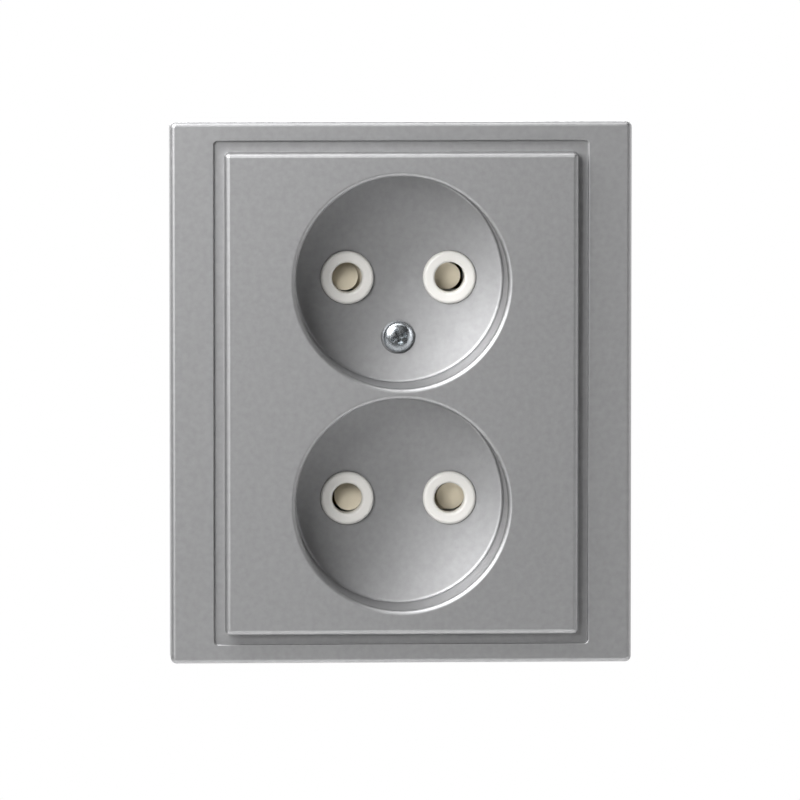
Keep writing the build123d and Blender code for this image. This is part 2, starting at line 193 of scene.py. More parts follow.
def near(value: float, target: float) -> bool:
    """Tell whether two lengths agree within the selection slack."""
    return abs(value - target) < SLACK


def upright(a: Vector, b: Vector) -> bool:
    """Tell whether the edge between two points runs straight out of the wall."""
    return near(a.x, b.x) and near(a.y, b.y) and not near(a.z, b.z)


def level(a: Vector, b: Vector, z: float) -> bool:
    """Tell whether the edge between two points lies at a height."""
    return near(a.z, z) and near(b.z, z)


def block(name: str, low: Corner, high: Corner) -> Object:
    """Box between two corners.

    Args:
        name: name of the new object.
        low: lowest corner, in millimetres.
        high: highest corner, in millimetres.

    Returns:
        The box as an object at the origin.
    """
    bpy.ops.object.select_all(action="DESELECT")
    middle = [(a + b) / 2 for a, b in zip(low, high)]
    bpy.ops.mesh.primitive_cube_add(size=1, location=middle)
    obj = bpy.context.active_object
    obj.name = name
    obj.scale = [b - a for a, b in zip(low, high)]
    bpy.ops.object.transform_apply(location=True, rotation=True, scale=True)
    return obj


def centred(name: str, half: Pair, low: float, high: float) -> Object:
    """Box of a half width and half length about the middle of the wall, from one height to another."""
    return block(name, (-half[0], -half[1], low), (*half, high))


def lathe(name: str, profile: Profile, steps: int, centre: Pair = (0.0, 0.0)) -> Object:
    """Turned body about an axis that runs out of the wall.

    Args:
        name: name of the new object.
        profile: (radius, z) points in millimetres, ending on the axis or where they start.
        steps: facets round the axis.
        centre: x and y of the axis.

    Returns:
        The closed body, with its normals outwards.
    """
    bpy.ops.object.select_all(action="DESELECT")
    bpy.ops.mesh.primitive_plane_add(size=1, location=(0, 0, 0))
    obj = bpy.context.active_object
    obj.name = name
    with editing(obj, Pick.VERT):
        mesh = bmesh.from_edit_mesh(obj.data)
        for index, vert in enumerate(mesh.verts):
            vert.select_set(index > 0)
        bmesh.update_edit_mesh(obj.data)
        bpy.ops.mesh.delete(type="VERT")
        bpy.ops.mesh.select_all(action="SELECT")
        mesh = bmesh.from_edit_mesh(obj.data)
        mesh.verts.ensure_lookup_table()
        start = Vector((profile[0][0] + centre[0], centre[1], profile[0][1]))
        bpy.ops.transform.translate(value=start - mesh.verts[0].co)
        for (r0, z0), (r1, z1) in zip(profile, profile[1:]):
            move = (r1 - r0, 0, z1 - z0)
            bpy.ops.mesh.extrude_region_move(TRANSFORM_OT_translate={"value": move})
        bpy.ops.mesh.select_all(action="SELECT")
        bpy.ops.mesh.spin(steps=steps, angle=FULL_TURN, center=(*centre, 0), axis=(0, 0, 1))
        bpy.ops.mesh.select_all(action="SELECT")
        bpy.ops.mesh.remove_doubles(threshold=SEAM_MERGE)
        bpy.ops.mesh.normals_make_consistent(inside=False)
    return obj


def plug(name: str, radius: float, low: float, high: float, steps: int, centre: Pair) -> Object:
    """Plain turned cylinder from one height to another, with its axis at a centre on the wall."""
    return lathe(name, [(0, low), (radius, low), (radius, high), (0, high)], steps, centre)


def arc(centre: Pair, radius: float, start: float, end: float, count: int) -> list[Pair]:
    """Points of a profile's arc.

    Args:
        centre: (radius, z) of the arc's centre.
        radius: radius of the arc.
        start: first angle in degrees.
        end: last angle in degrees.
        count: segments of the arc.

    Returns:
        The arc's points, both ends included.
    """
    angles = [math.radians(start + (end - start) * i / count) for i in range(count + 1)]
    return [(centre[0] + radius * math.cos(a), centre[1] + radius * math.sin(a)) for a in angles]


def combine(obj: Object, tool: Object, how: Join) -> None:
    """Cut a tool body from a piece or add it, and merge the points that fall together.

    Args:
        obj: the piece.
        tool: the tool body, which is used up.
        how: whether it is cut or added.
    """
    pick_only(obj)
    change = obj.modifiers.new("change", "BOOLEAN")
    change.operation = how.value
    change.solver = "EXACT"
    change.object = tool
    bpy.ops.object.modifier_apply(modifier=change.name)
    bpy.data.objects.remove(tool)
    with editing(obj, Pick.VERT):
        bpy.ops.mesh.select_all(action="SELECT")
        bpy.ops.mesh.remove_doubles(threshold=MERGE)


def gather(name: str, parts: Sequence[Object]) -> Object:
    """Join several objects into one.

    Args:
        name: name of the joined object.
        parts: the objects, which are used up.

    Returns:
        The joined object.
    """
    bpy.ops.object.select_all(action="DESELECT")
    for part in parts:
        part.select_set(True)
    bpy.context.view_layer.objects.active = parts[0]
    bpy.ops.object.join()
    parts[0].name = name
    return parts[0]


def round_edges(obj: Object, test: EdgeTest, radius: float, segments: int) -> None:
    """Round the edges that pass the test.

    Args:
        obj: the piece.
        test: picks edges by their end points in millimetres.
        radius: radius of the round.
        segments: facets across the round.
    """
    with editing(obj, Pick.EDGE):
        choose_edges(obj, test)
        bpy.ops.mesh.bevel(offset=radius, segments=segments, profile=0.5, affect="EDGES")


def push(distance: float) -> None:
    """Extrude the selected face along z by a distance in the object's own units."""
    bpy.ops.mesh.extrude_region_move(TRANSFORM_OT_translate={"value": (0, 0, distance)})


def swell(half: Pair, edge: float, count: int) -> None:
    """Raise and widen the selected top face of a window cutter, so that the cutter leaves a round edge.

    Args:
        half: half width and half length of the face.
        edge: radius of the round edge.
        count: facets across the round.
    """
    now, rise = half, 0.0
    for i in range(1, count + 1):
        angle = math.radians(90 * i / count)
        out, up = edge * (1 - math.cos(angle)), edge * math.sin(angle)
        then = (half[0] + out, half[1] + out)
        push(up - rise)
        bpy.ops.transform.resize(value=(then[0] / now[0], then[1] / now[1], 1), center_override=(0, 0, 0))
        now, rise = then, up
    push(OVERLAP)


def ease_all(obj: Object, radius: float, segments: int, angle: float) -> None:
    """Round every edge sharper than an angle with a Bevel modifier, and apply it.

    Args:
        obj: the piece.
        radius: radius of the round.
        segments: facets across the round.
        angle: the angle in degrees.
    """
    pick_only(obj)
    bevel = obj.modifiers.new("ease", "BEVEL")
    bevel.width = radius
    bevel.segments = segments
    bevel.limit_method = "ANGLE"
    bevel.angle_limit = math.radians(angle)
    bevel.use_clamp_overlap = True
    bpy.ops.object.modifier_apply(modifier=bevel.name)


def smooth(obj: Object, angle: float = SMOOTH_ANGLE) -> None:
    """Shade smooth below an angle, and let the large faces set the normals.

    Args:
        obj: the piece.
        angle: the angle in degrees.
    """
    pick_only(obj)
    bpy.ops.object.shade_smooth_by_angle(angle=math.radians(angle))
    weight = obj.modifiers.new("weight", "WEIGHTED_NORMAL")
    weight.keep_sharp = True
    weight.weight = NORMAL_WEIGHT
    bpy.ops.object.modifier_apply(modifier=weight.name)


def stand_up(obj: Object) -> None:
    """Bring a piece from its drawing position to its place on the wall, at its real size.

    Args:
        obj: the drawn piece.
    """
    pick_only(obj)
    obj.rotation_euler = (math.pi / 2, 0, 0)
    obj.scale = (MM, MM, MM)
    bpy.ops.object.transform_apply(location=True, rotation=True, scale=True)


def half_turned(obj: Object, name: str) -> Object:
    """Copy a drawn piece, turned half round in the wall plane, with its own mesh.

    Args:
        obj: the drawn piece.
        name: name of the copy.

    Returns:
        The copy.
    """
    pick_only(obj)
    bpy.ops.object.duplicate(linked=False)
    copy = bpy.context.active_object
    copy.name = name
    copy.rotation_euler = (0, 0, math.pi)
    bpy.ops.object.transform_apply(location=True, rotation=True, scale=True)
    return copy


def copy_of_node(node: str, name: str) -> Object:
    """Copy a CAD node at drawing size, merged and with its flat faces in one piece, for finer work.

    Args:
        node: the CAD node.
        name: name of the copy.

    Returns:
        The copy in its drawing position.
    """
    source = bpy.data.objects[node]
    obj = bpy.data.objects.new(name, source.data.copy())
    bpy.context.scene.collection.objects.link(obj)
    obj.data.materials.clear()
    pick_only(obj)
    obj.scale = (1 / MM, 1 / MM, 1 / MM)
    obj.rotation_euler = (-math.pi / 2, 0, 0)
    bpy.ops.object.transform_apply(location=True, rotation=True, scale=True)
    with editing(obj, Pick.FACE):
        bpy.ops.mesh.select_all(action="SELECT")
        bpy.ops.mesh.customdata_custom_splitnormals_clear()
        bpy.ops.mesh.remove_doubles(threshold=MERGE)
        bpy.ops.mesh.dissolve_limited(angle_limit=math.radians(FLAT_ANGLE))
    return obj


# Finishes


def new_group(name: str, inputs: dict[str, float], outputs: Sequence[str]) -> NodeTree:
    """Empty shader node group with float sockets.

    Args:
        name: name of the group.
        inputs: input names with their default values.
        outputs: output names.

    Returns:
        The node group, with its input and output nodes.
    """
    tree = bpy.data.node_groups.new(name, "ShaderNodeTree")
    for label, value in inputs.items():
        socket = tree.interface.new_socket(label, in_out="INPUT", socket_type="NodeSocketFloat")
        socket.default_value = value
    for label in outputs:
        tree.interface.new_socket(label, in_out="OUTPUT", socket_type="NodeSocketFloat")
    tree.nodes.new("NodeGroupInput").name = "in"
    tree.nodes.new("NodeGroupOutput").name = "out"
    return tree


def grain_group() -> NodeTree:
    """Two sizes of even grain: a fine one for the surface and a broad one for the tone.

    Returns:
        The node group.
    """
    tree = new_group("surface_grain", {"Fine": 9000.0, "Broad": 700.0}, ("Height", "Tone"))
    nodes, links = tree.nodes, tree.links
    place = nodes.new("ShaderNodeTexCoord")
    for source, target, detail in (("Fine", "Height", 2.0), ("Broad", "Tone", 4.0)):
        noise = nodes.new("ShaderNodeTexNoise")
        noise.inputs["Detail"].default_value = detail
        noise.inputs["Roughness"].default_value = GRAIN_ROUGHNESS
        links.new(place.outputs["Object"], noise.inputs["Vector"])
        links.new(nodes["in"].outputs[source], noise.inputs["Scale"])
        links.new(noise.outputs["Fac"], nodes["out"].inputs[target])
    return tree


def streak_group() -> NodeTree:
    """Long fine streaks left by rolling, along x.

    Returns:
        The node group.
    """
    tree = new_group("rolled_streaks", {"Along": 150.0, "Across": 9000.0}, ("Height",))
    nodes, links = tree.nodes, tree.links
    place = nodes.new("ShaderNodeTexCoord")
    scale = nodes.new("ShaderNodeCombineXYZ")
    links.new(nodes["in"].outputs["Along"], scale.inputs["X"])
    links.new(nodes["in"].outputs["Across"], scale.inputs["Y"])
    links.new(nodes["in"].outputs["Across"], scale.inputs["Z"])
    stretch = nodes.new("ShaderNodeVectorMath")
    stretch.operation = "MULTIPLY"
    links.new(place.outputs["Object"], stretch.inputs[0])
    links.new(scale.outputs["Vector"], stretch.inputs[1])
    noise = nodes.new("ShaderNodeTexNoise")
    noise.inputs["Scale"].default_value = 1.0
    noise.inputs["Detail"].default_value = 3.0
    links.new(stretch.outputs["Vector"], noise.inputs["Vector"])
    links.new(noise.outputs["Fac"], nodes["out"].inputs["Height"])
    return tree


def reckon(tree: NodeTree, operation: str, first: Socket, second: Socket | float) -> Socket:
    """Add a maths node to a node tree.

    Args:
        tree: the node tree.
        operation: what the node does.
        first: output that gives the first value.
        second: output that gives the second value, or the value.

    Returns:
        The output of the node.
    """
    node = tree.nodes.new("ShaderNodeMath")
    node.operation = operation
    tree.links.new(first, node.inputs[0])
    if isinstance(second, float):
        node.inputs[1].default_value = second
    else:
        tree.links.new(second, node.inputs[1])
    return node.outputs["Value"]


@dataclass(frozen=True)
class Finish:
    """A finish: its colours, gloss and grain."""

    name: FinishName
    dark: Colour
    light: Colour
    metallic: float
    rough_low: float
    rough_high: float
    bump: float
    fine: float = 9000.0
    broad: float = 700.0
    streaks: bool = False

    def build(self, grain: NodeTree, streaks: NodeTree) -> Material:
        """Make the material.

        Args:
            grain: the shared grain group.
            streaks: the shared rolling streaks group.

        Returns:
            The material.
        """
        material = bpy.data.materials.new(self.name.value)
        material.use_nodes = True
        nodes, links = material.node_tree.nodes, material.node_tree.links
        shader = nodes["Principled BSDF"]
        shader.inputs["Metallic"].default_value = self.metallic
        texture = nodes.new("ShaderNodeGroup")
        texture.node_tree = grain
        texture.inputs["Fine"].default_value = self.fine
        texture.inputs["Broad"].default_value = self.broad
        height = texture.outputs["Height"]
        if self.streaks:
            rolled = nodes.new("ShaderNodeGroup")
            rolled.node_tree = streaks
            height = rolled.outputs["Height"]
        tone = nodes.new("ShaderNodeMix")
        tone.data_type = "RGBA"
        tone.inputs["A"].default_value = (*self.dark, 1)
        tone.inputs["B"].default_value = (*self.light, 1)
        links.new(texture.outputs["Tone"], tone.inputs["Factor"])
        links.new(tone.outputs["Result"], shader.inputs["Base Color"])
        gloss = nodes.new("ShaderNodeMapRange")
        gloss.inputs["From Min"].default_value = GRAIN_SPAN[0]
        gloss.inputs["From Max"].default_value = GRAIN_SPAN[1]
        gloss.inputs["To Min"].default_value = self.rough_low
        gloss.inputs["To Max"].default_value = self.rough_high
        links.new(height, gloss.inputs["Value"])
        links.new(gloss.outputs["Result"], shader.inputs["Roughness"])
        bump = nodes.new("ShaderNodeBump")
        bump.inputs["Strength"].default_value = self.bump
        bump.inputs["Distance"].default_value = BUMP_DEPTH * MM
        links.new(height, bump.inputs["Height"])
        links.new(bump.outputs["Normal"], shader.inputs["Normal"])
        return material


class FinishName(Enum):
    """The finishes of the socket, by material slot."""

    SILVER = "silver_paint"
    WHITE = "white_plastic"
    BEIGE = "beige_plastic"
    ZINC = "zinc_steel"
    SPRING = "spring_steel"
    HOUSING = "housing_plastic"
    BRASS = "brass_strip"
    LEVER = "lever_plastic"
    PLATED = "plated_steel"


FINISHES = (
    Finish(FinishName.SILVER, (0.335, 0.335, 0.34), (0.44, 0.44, 0.445), 1.0, 0.42, 0.52, 0.25,
           7000.0, 900.0),
    Finish(FinishName.WHITE, (0.84, 0.82, 0.78), (0.87, 0.86, 0.82), 0.0, 0.36, 0.46, 0.05, 6000.0, 300.0),
    Finish(FinishName.BEIGE, (0.88, 0.79, 0.61), (0.92, 0.84, 0.67), 0.0, 0.38, 0.48, 0.05, 6000.0, 300.0),
    Finish(FinishName.ZINC, (0.56, 0.60, 0.63), (0.68, 0.71, 0.73), 1.0, 0.20, 0.30, 0.04, 3000.0, 900.0),
    Finish(FinishName.SPRING, (0.42, 0.42, 0.43), (0.52, 0.52, 0.53), 1.0, 0.22, 0.36, 0.20, streaks=True),
    Finish(FinishName.HOUSING, (0.60, 0.60, 0.58), (0.66, 0.66, 0.64), 0.0, 0.48, 0.62, 0.40, 5000.0, 250.0),
    Finish(FinishName.BRASS, (0.66, 0.45, 0.17), (0.76, 0.55, 0.23), 1.0, 0.20, 0.34, 0.15, streaks=True),
    Finish(FinishName.LEVER, (0.085, 0.09, 0.10), (0.11, 0.115, 0.125), 0.0, 0.40, 0.52, 0.20, 6000.0, 400.0),
    Finish(FinishName.PLATED, (0.50, 0.51, 0.52), (0.66, 0.67, 0.68), 1.0, 0.26, 0.42, 0.10, 4000.0, 420.0),
)


class PaintShop:
    """All finishes, built once."""

    def __init__(self) -> None:
        """Build the shared groups and every finish."""
        grain = grain_group()
        streaks = streak_group()
        self.materials = {finish.name: finish.build(grain, streaks) for finish in FINISHES}

    def dress(self, obj: Object, finish: FinishName) -> None:
        """Give a piece its finish.

        Args:
            obj: the piece.
            finish: its finish.
        """
        obj.data.materials.clear()
        obj.data.materials.append(self.materials[finish])


def hand_over(obj: Object, body: Body, *nodes: str) -> None:
    """Let a finished piece ride on a body in place of CAD nodes.

    Args:
        obj: the piece.
        body: the body that carries it.
        nodes: the CAD nodes that it replaces.
    """
    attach(obj, body.value)
    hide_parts(*nodes)
    log.info("%s: %d faces on %s", obj.name, len(obj.data.polygons), body.value)


# Sub-assemblies


@dataclass
class CoverFrame:
    """Outer frame: hollow-backed moulding with a stepped ledge round its window."""

    half_width: float = 42.5
    half_length: float = 50.0
    depth: float = 8.0
    wall: float = 1.8
    corner: float = 1.1
    edge: float = 0.9
    window: Pair = (34.45, 46.45)
    window_corner: float = 0.8
    window_edge: float = 0.25
    ledge_top: float = 7.2
    ledge_back: float = 5.7
    opening: Pair = (30.35, 42.35)
    lip: float = 1.2
    lip_back: float = 2.2
    rib: float = 1.0
    ribs: int = 3
    rib_root: float = 0.4
    rib_rise: float = 0.1
    rib_sink: float = 0.3
    foot_ease: float = 0.25
    segments: int = 6

    def build(self) -> Object:
        """Model the frame.

        Returns:
            The frame in its place.
        """
        width, length = self.half_width, self.half_length
        inside = (width - self.wall, length - self.wall)
        lip = (self.opening[0] + self.lip, self.opening[1] + self.lip)
        frame = block("frame_shell", (-width, -length, 0), (width, length, self.depth))
        round_edges(frame, upright, self.corner, self.segments)
        round_edges(frame, lambda a, b: level(a, b, self.depth), self.edge, self.segments)
        round_edges(frame, lambda a, b: level(a, b, 0), self.foot_ease, 2)
        combine(frame, centred("hollow", inside, -OVERLAP, self.ledge_back), Join.CUT)
        combine(frame, centred("lip", lip, self.lip_back, self.ledge_back + self.rib_root), Join.ADD)
        combine(frame, self.rib_bodies(inside, lip), Join.ADD)
        combine(frame, centred("opening", self.opening, -OVERLAP, self.depth + OVERLAP), Join.CUT)
        combine(frame, self.window_cutter(), Join.CUT)
        smooth(frame)
        stand_up(frame)
        return frame

    def window_cutter(self) -> Object:
        """Cutter for the window above the ledge, which leaves a round edge.

        Returns:
            The tool body.
        """
        cutter = centred("window", self.window, self.ledge_top, self.depth - self.window_edge)
        round_edges(cutter, upright, self.window_corner, self.segments)
        with editing(cutter, Pick.FACE):
            choose_faces(cutter, lambda c, n: n.z > FACING)
            swell(self.window, self.window_edge, 5)
        return cutter

    def rib_bodies(self, inside: Pair, lip: Pair) -> Object:
        """Stiffening ribs between the outer walls and the lip.

        Args:
            inside: half width and half length between the outer walls.
            lip: half width and half length over the lip.

        Returns:
            The ribs as one tool body.
        """
        ribs = []
        half = self.rib / 2
        low, high = self.lip_back + self.rib_rise, self.ledge_back + self.rib_sink
        for i in range(self.ribs):
            x = (2 * (i + 1) / (self.ribs + 1) - 1) * lip[0]
            y = (2 * (i + 1) / (self.ribs + 1) - 1) * lip[1]
            for sign in (1, -1):
                ends = sorted((sign * (lip[1] - self.rib_root), sign * (inside[1] + self.rib_root)))
                ribs.append(block("rib", (x - half, ends[0], low), (x + half, ends[1], high)))
                ends = sorted((sign * (lip[0] - self.rib_root), sign * (inside[0] + self.rib_root)))
                ribs.append(block("rib", (ends[0], y - half, low), (ends[1], y + half, high)))
        return gather("ribs", ribs)


@dataclass
class SocketCover:
    """Centre plate with two plug wells."""

    half_width: float = 32.55
    half_length: float = 44.45
    top: float = 11.0
    back: float = 9.4
    skirt: float = 7.2
    wall: float = 1.6
    edge: float = 1.0
    well_radius: float = 19.5
    well_outside: float = 21.1
    well_foot: float = 0.5
    rim: float = 0.9
    floor: float = -4.0
    floor_back: float = -5.6
    floor_round: float = 0.7
    dish: float = 1.7
    pitch_half: float = 20.5
    pin_x: float = 9.5
    ring_hole: float = 4.95
    hole_ease: float = 0.06
    screw_y: float = 9.5
    seat_radius: float = 3.15
    seat: float = -4.6
    screw_hole: float = 1.7
    tab: Pair = (8.0, 1.2)
    tab_end: float = 4.6
    tab_places: Pair = (30.2, 42.2)
    segments: int = 6
    steps: int = 144
    hole_steps: int = 64
    shank_steps: int = 32

    def build(self) -> Object:
        """Model the cover.

        Returns:
            The cover in its place.
        """
        plate = block("cover_plate", (-self.half_width, -self.half_length, self.skirt),
                      (self.half_width, self.half_length, self.top))
        round_edges(plate, lambda a, b: upright(a, b) or level(a, b, self.top), self.edge, self.segments)
        inside = (self.half_width - self.wall, self.half_length - self.wall)
        combine(plate, centred("hollow", inside, self.skirt - OVERLAP, self.back), Join.CUT)
        combine(plate, self.tabs(), Join.ADD)
        for sign in (1, -1):
            combine(plate, self.well_outer(sign), Join.ADD)
        for sign in (1, -1):
            combine(plate, self.well_inner(sign), Join.CUT)
        below = self.floor_back - OVERLAP
        mouth = self.floor_height(self.pin_x)
        for x in (self.pin_x, -self.pin_x):
            for sign in (1, -1):
                hole = self.round_hole((x, sign * self.pitch_half), self.ring_hole, below, mouth)
                combine(plate, hole, Join.CUT)
        mouth = self.floor_height(self.pitch_half - self.screw_y)
        combine(plate, self.round_hole((0, self.screw_y), self.seat_radius, self.seat, mouth), Join.CUT)
        shank = plug("shank", self.screw_hole, below, self.seat + SHORT_OVERLAP, self.shank_steps,
                     (0, self.screw_y))
        combine(plate, shank, Join.CUT)
        smooth(plate)
        stand_up(plate)
        return plate

    def well_outer(self, sign: int) -> Object:
        """Outside of a well, from its floor up into the plate.

        Args:
            sign: 1 for the upper well, -1 for the lower one.

        Returns:
            The tool body.
        """
        r, foot = self.well_outside, self.well_foot
        bottom = arc((r - foot, self.floor_back + foot), foot, -90, 0, 4)
        end = self.back + self.wall / 2
        profile = [(0, self.floor_back), *bottom, (r, end), (0, end)]
        return lathe("well_outer", profile, self.steps, (0, sign * self.pitch_half))

    def well_inner(self, sign: int) -> Object:
        """Inside of a well: filleted floor, straight wall and round rim.

        Args:
            sign: 1 for the upper well, -1 for the lower one.

        Returns:
            The tool body.
        """
        r, f = self.well_radius, self.floor_round
        flat = r - f
        floor = [(flat * i / 8, self.floor_height(flat * i / 8)) for i in range(8)]
        fillet = arc((flat, self.floor_height(flat) + f), f, -90, 0, 6)
        rim = arc((r + self.rim, self.top - self.rim), self.rim, 180, 90, 8)
        profile = [*floor, *fillet, *rim, (r + self.rim, self.top + OVERLAP), (0, self.top + OVERLAP)]
        return lathe("well_inner", profile, self.steps, (0, sign * self.pitch_half))

    def floor_height(self, radius: float) -> float:
        """Height of the slightly dished floor at a distance from the well's axis."""
        return self.floor + self.dish * ((radius / self.well_radius) ** 2 - 0.5)

    def round_hole(self, centre: Pair, radius: float, bottom: float, mouth: float) -> Object:
        """Round hole into the well floor with an eased mouth.

        Args:
            centre: x and y of the hole.
            radius: radius of the hole.
            bottom: height of its lower end.
            mouth: height of the floor that it opens.

        Returns:
            The tool body.
        """
        e = self.hole_ease
        ease = arc((radius + e, mouth - e), e, 180, 90, 3)
        profile = [(0, bottom), (radius, bottom), *ease, (radius + e, mouth + OVERLAP), (0, mouth + OVERLAP)]
        return lathe("hole", profile, self.hole_steps, centre)

    def tabs(self) -> Object:
        """Tabs under the plate that centre the frame.

        Returns:
            The tabs as one tool body.
        """
        half, thick = self.tab[0] / 2, self.tab[1]
        low, high = self.tab_end, self.back + SHORT_OVERLAP
        made = []
        for sign in (1, -1):
            x = sorted((sign * self.tab_places[0], sign * (self.tab_places[0] - thick)))
            y = sorted((sign * self.tab_places[1], sign * (self.tab_places[1] - thick)))
            for place in (0.5, -0.5):
                at_x, at_y = place * self.half_width, place * self.half_length
                made.append(block("tab", (x[0], at_y - half, low), (x[1], at_y + half, high)))
                made.append(block("tab", (at_x - half, y[0], low), (at_x + half, y[1], high)))
        return gather("tabs", made)


@dataclass
class PinGuide:
    """White moulding whose two rings stand in a well's floor; its box behind holds the shutter."""

    half_width: float = 14.5
    low: float = 0.15
    high: float = 30.81
    bottom: float = -11.7
    top: float = -5.6
    ceiling: float = -7.0
    wall: float = 1.4
    corner: float = 1.2
    edge: float = 0.3
    pillar: float = 3.0
    pillar_y: float = 9.5
    screw_hole: float = 1.7
    pin_x: float = 9.5
    pin_y: float = 20.5
    ring_radius: float = 4.92
    ring_top: float = -3.3
    ring_round: float = 0.7
    ring_root: float = 0.1
    hole_radius: float = 2.8
    hole_round: float = 0.55
    foot_length: float = 4.0
    foot_end: float = -13.4
    steps: int = 72
    passage_steps: int = 32

    def build(self) -> Object:
        """Model the upper guide.

        Returns:
            The guide in its drawing position.
        """
        guide = block("upper_guide", (-self.half_width, self.low, self.bottom),
                      (self.half_width, self.high, self.top))
        round_edges(guide, upright, self.corner, 4)
        round_edges(guide, lambda a, b: level(a, b, self.top), self.edge, 3)
        w = self.half_width - self.wall
        hollow = block("hollow", (-w, self.low + self.wall, self.bottom - OVERLAP),
                       (w, self.high - self.wall, self.ceiling))
        combine(guide, hollow, Join.CUT)
        p = self.pillar
        pillar = block("pillar", (-p, self.pillar_y - p, self.bottom),
                       (p, self.pillar_y + p, self.ceiling + SHORT_OVERLAP))
        combine(guide, pillar, Join.ADD)
        for sign in (1, -1):
            combine(guide, self.seat(sign), Join.CUT)
            combine(guide, self.ring(sign), Join.ADD)
            combine(guide, self.foot(sign), Join.ADD)
        passage = plug("passage", self.screw_hole, self.bottom - OVERLAP, self.top + OVERLAP,
                       self.passage_steps, (0, self.pillar_y))
        combine(guide, passage, Join.CUT)
        smooth(guide)
        return guide

    def ring(self, sign: int) -> Object:
        """Ring round a pin entry, with a rounded outer edge and a rounded mouth.

        Args:
            sign: 1 for the right entry, -1 for the left one.

        Returns:
            The tool body.
        """
        r, e = self.ring_radius, self.ring_round
        bore, m = self.hole_radius, self.hole_round
        crown = arc((r - e, self.ring_top - e), e, 0, 90, 8)
        mouth = arc((bore + m, self.ring_top - m), m, 90, 180, 6)
        root = self.ceiling + self.ring_root
        profile = [(bore, root), (r, root), *crown, *mouth, (bore, root)]
        return lathe("ring", profile, self.steps, (sign * self.pin_x, self.pin_y))

    def seat(self, sign: int) -> Object:
        """Opening in the guide's plate that the ring fills, with facets that don't fall on the ring's.

        Args:
            sign: 1 for the right entry, -1 for the left one.

        Returns:
            The tool body.
        """
        r = (self.ring_radius + self.hole_radius) / 2
        return plug("seat", r, self.ceiling - OVERLAP, self.top + OVERLAP, self.steps - 1,
                    (sign * self.pin_x, self.pin_y))

    def foot(self, sign: int) -> Object:
        """Foot that plugs into the contact cover.

        Args:
            sign: 1 for the right foot, -1 for the left one.

        Returns:
            The tool body.
        """
        x = sorted((sign * (self.half_width - self.wall), sign * self.half_width))
        half = self.foot_length / 2
        return block("foot", (x[0], self.pin_y - half, self.foot_end),
                     (x[1], self.pin_y + half, self.bottom + self.wall))


@dataclass
class CoverScrew:
    """Pan-head screw with a cross recess."""

    y: float = 9.5
    seat: float = -4.6
    head_radius: float = 2.9
    head_height: float = 1.9
    side: float = 0.75
    shank_radius: float = 1.5
    end: float = -16.8
    recess_length: float = 3.8
    recess_width: float = 0.92
    recess_depth: float = 1.45
    recess_turn: float = 18.0
    taper: Pair = (0.55, 0.75)
    dome: float = 0.62
    tip: float = 0.35
    brim: float = 0.12
    ease: float = 0.07
    steps: int = 64

    def build(self) -> Object:
        """Model the screw.

        Returns:
            The screw in its place.
        """
        top = self.seat + self.head_height
        shoulder = self.seat + self.side
        rise = top - self.seat - self.side
        r, shank = self.head_radius, self.shank_radius
        angles = [math.radians(a) for a in range(0, 90, 6)]
        dome = [(r * math.cos(a) ** self.dome, shoulder + rise * math.sin(a)) for a in angles]
        profile = [(0, self.end), (shank - self.tip, self.end), (shank, self.end + self.tip),
                   (shank, self.seat), (r - self.brim, self.seat), (r, self.seat + self.brim),
                   *dome, (0, top)]
        screw = lathe("pan_head_screw", profile, self.steps)
        for turn in (0, 90):
            combine(screw, self.slot(top, self.recess_turn + turn), Join.CUT)
        ease_all(screw, self.ease, 2, BENT_ANGLE)
        smooth(screw, BENT_ANGLE)
        pick_only(screw)
        screw.location = (0, self.y, 0)
        bpy.ops.object.transform_apply(location=True, rotation=True, scale=True)
        stand_up(screw)
        return screw

    def slot(self, top: float, turn: float) -> Object:
        """One tapered arm of the cross recess.

        Args:
            top: height of the head.
            turn: direction of the arm in degrees.

        Returns:
            The tool body.
        """
        half, width = self.recess_length / 2, self.recess_width / 2
        arm = block("recess", (-half, -width, top - self.recess_depth), (half, width, top + OVERLAP))
        with editing(arm, Pick.FACE):
            choose_faces(arm, lambda c, n: n.z < -FACING)
            bpy.ops.transform.resize(value=(*self.taper, 1), center_override=(0, 0, 0))
        pick_only(arm)
        arm.rotation_euler = (0, 0, math.radians(turn))
        bpy.ops.object.transform_apply(location=True, rotation=True, scale=True)
        return arm


@dataclass
class EasedPiece:
    """Finer copy of a CAD node whose shape is right, with eased edges."""

    node: str
    name: str
    finish: FinishName
    body: Body = Body.HOUSING
    ease: float = 0.15
    segments: int = 2

    def build(self, shop: PaintShop) -> Object:
        """Copy, ease and dress the node, and let the copy ride in its place.

        Args:
            shop: the finishes.

        Returns:
            The piece.
        """
        obj = copy_of_node(self.node, self.name)
        ease_all(obj, self.ease, self.segments, EASE_ANGLE)
        smooth(obj)
        stand_up(obj)
        shop.dress(obj, self.finish)
        hand_over(obj, self.body, self.node)
        return obj


EASED_PIECES = (
    EasedPiece("upper_shutter", "upper_shutter_moulding", FinishName.BEIGE, Body.UPPER_SHUTTER, 0.2, 3),
    EasedPiece("lower_shutter", "lower_shutter_moulding", FinishName.BEIGE, Body.LOWER_SHUTTER, 0.2, 3),
    EasedPiece("contact_cover", "contact_cover_plate", FinishName.HOUSING),
    EasedPiece("neutral_rail", "neutral_strip", FinishName.BRASS, ease=0.08),
    EasedPiece("line_rail", "line_strip", FinishName.BRASS, ease=0.08),
    EasedPiece("neutral_release_lever", "neutral_button", FinishName.LEVER, Body.NEUTRAL_LEVER, 0.2, 3),
    EasedPiece("line_release_lever", "line_button", FinishName.LEVER, Body.LINE_LEVER, 0.2, 3),
    EasedPiece("cover_screw_nut", "square_nut", FinishName.ZINC),
    EasedPiece("support_strap", "steel_strap", FinishName.PLATED),
)


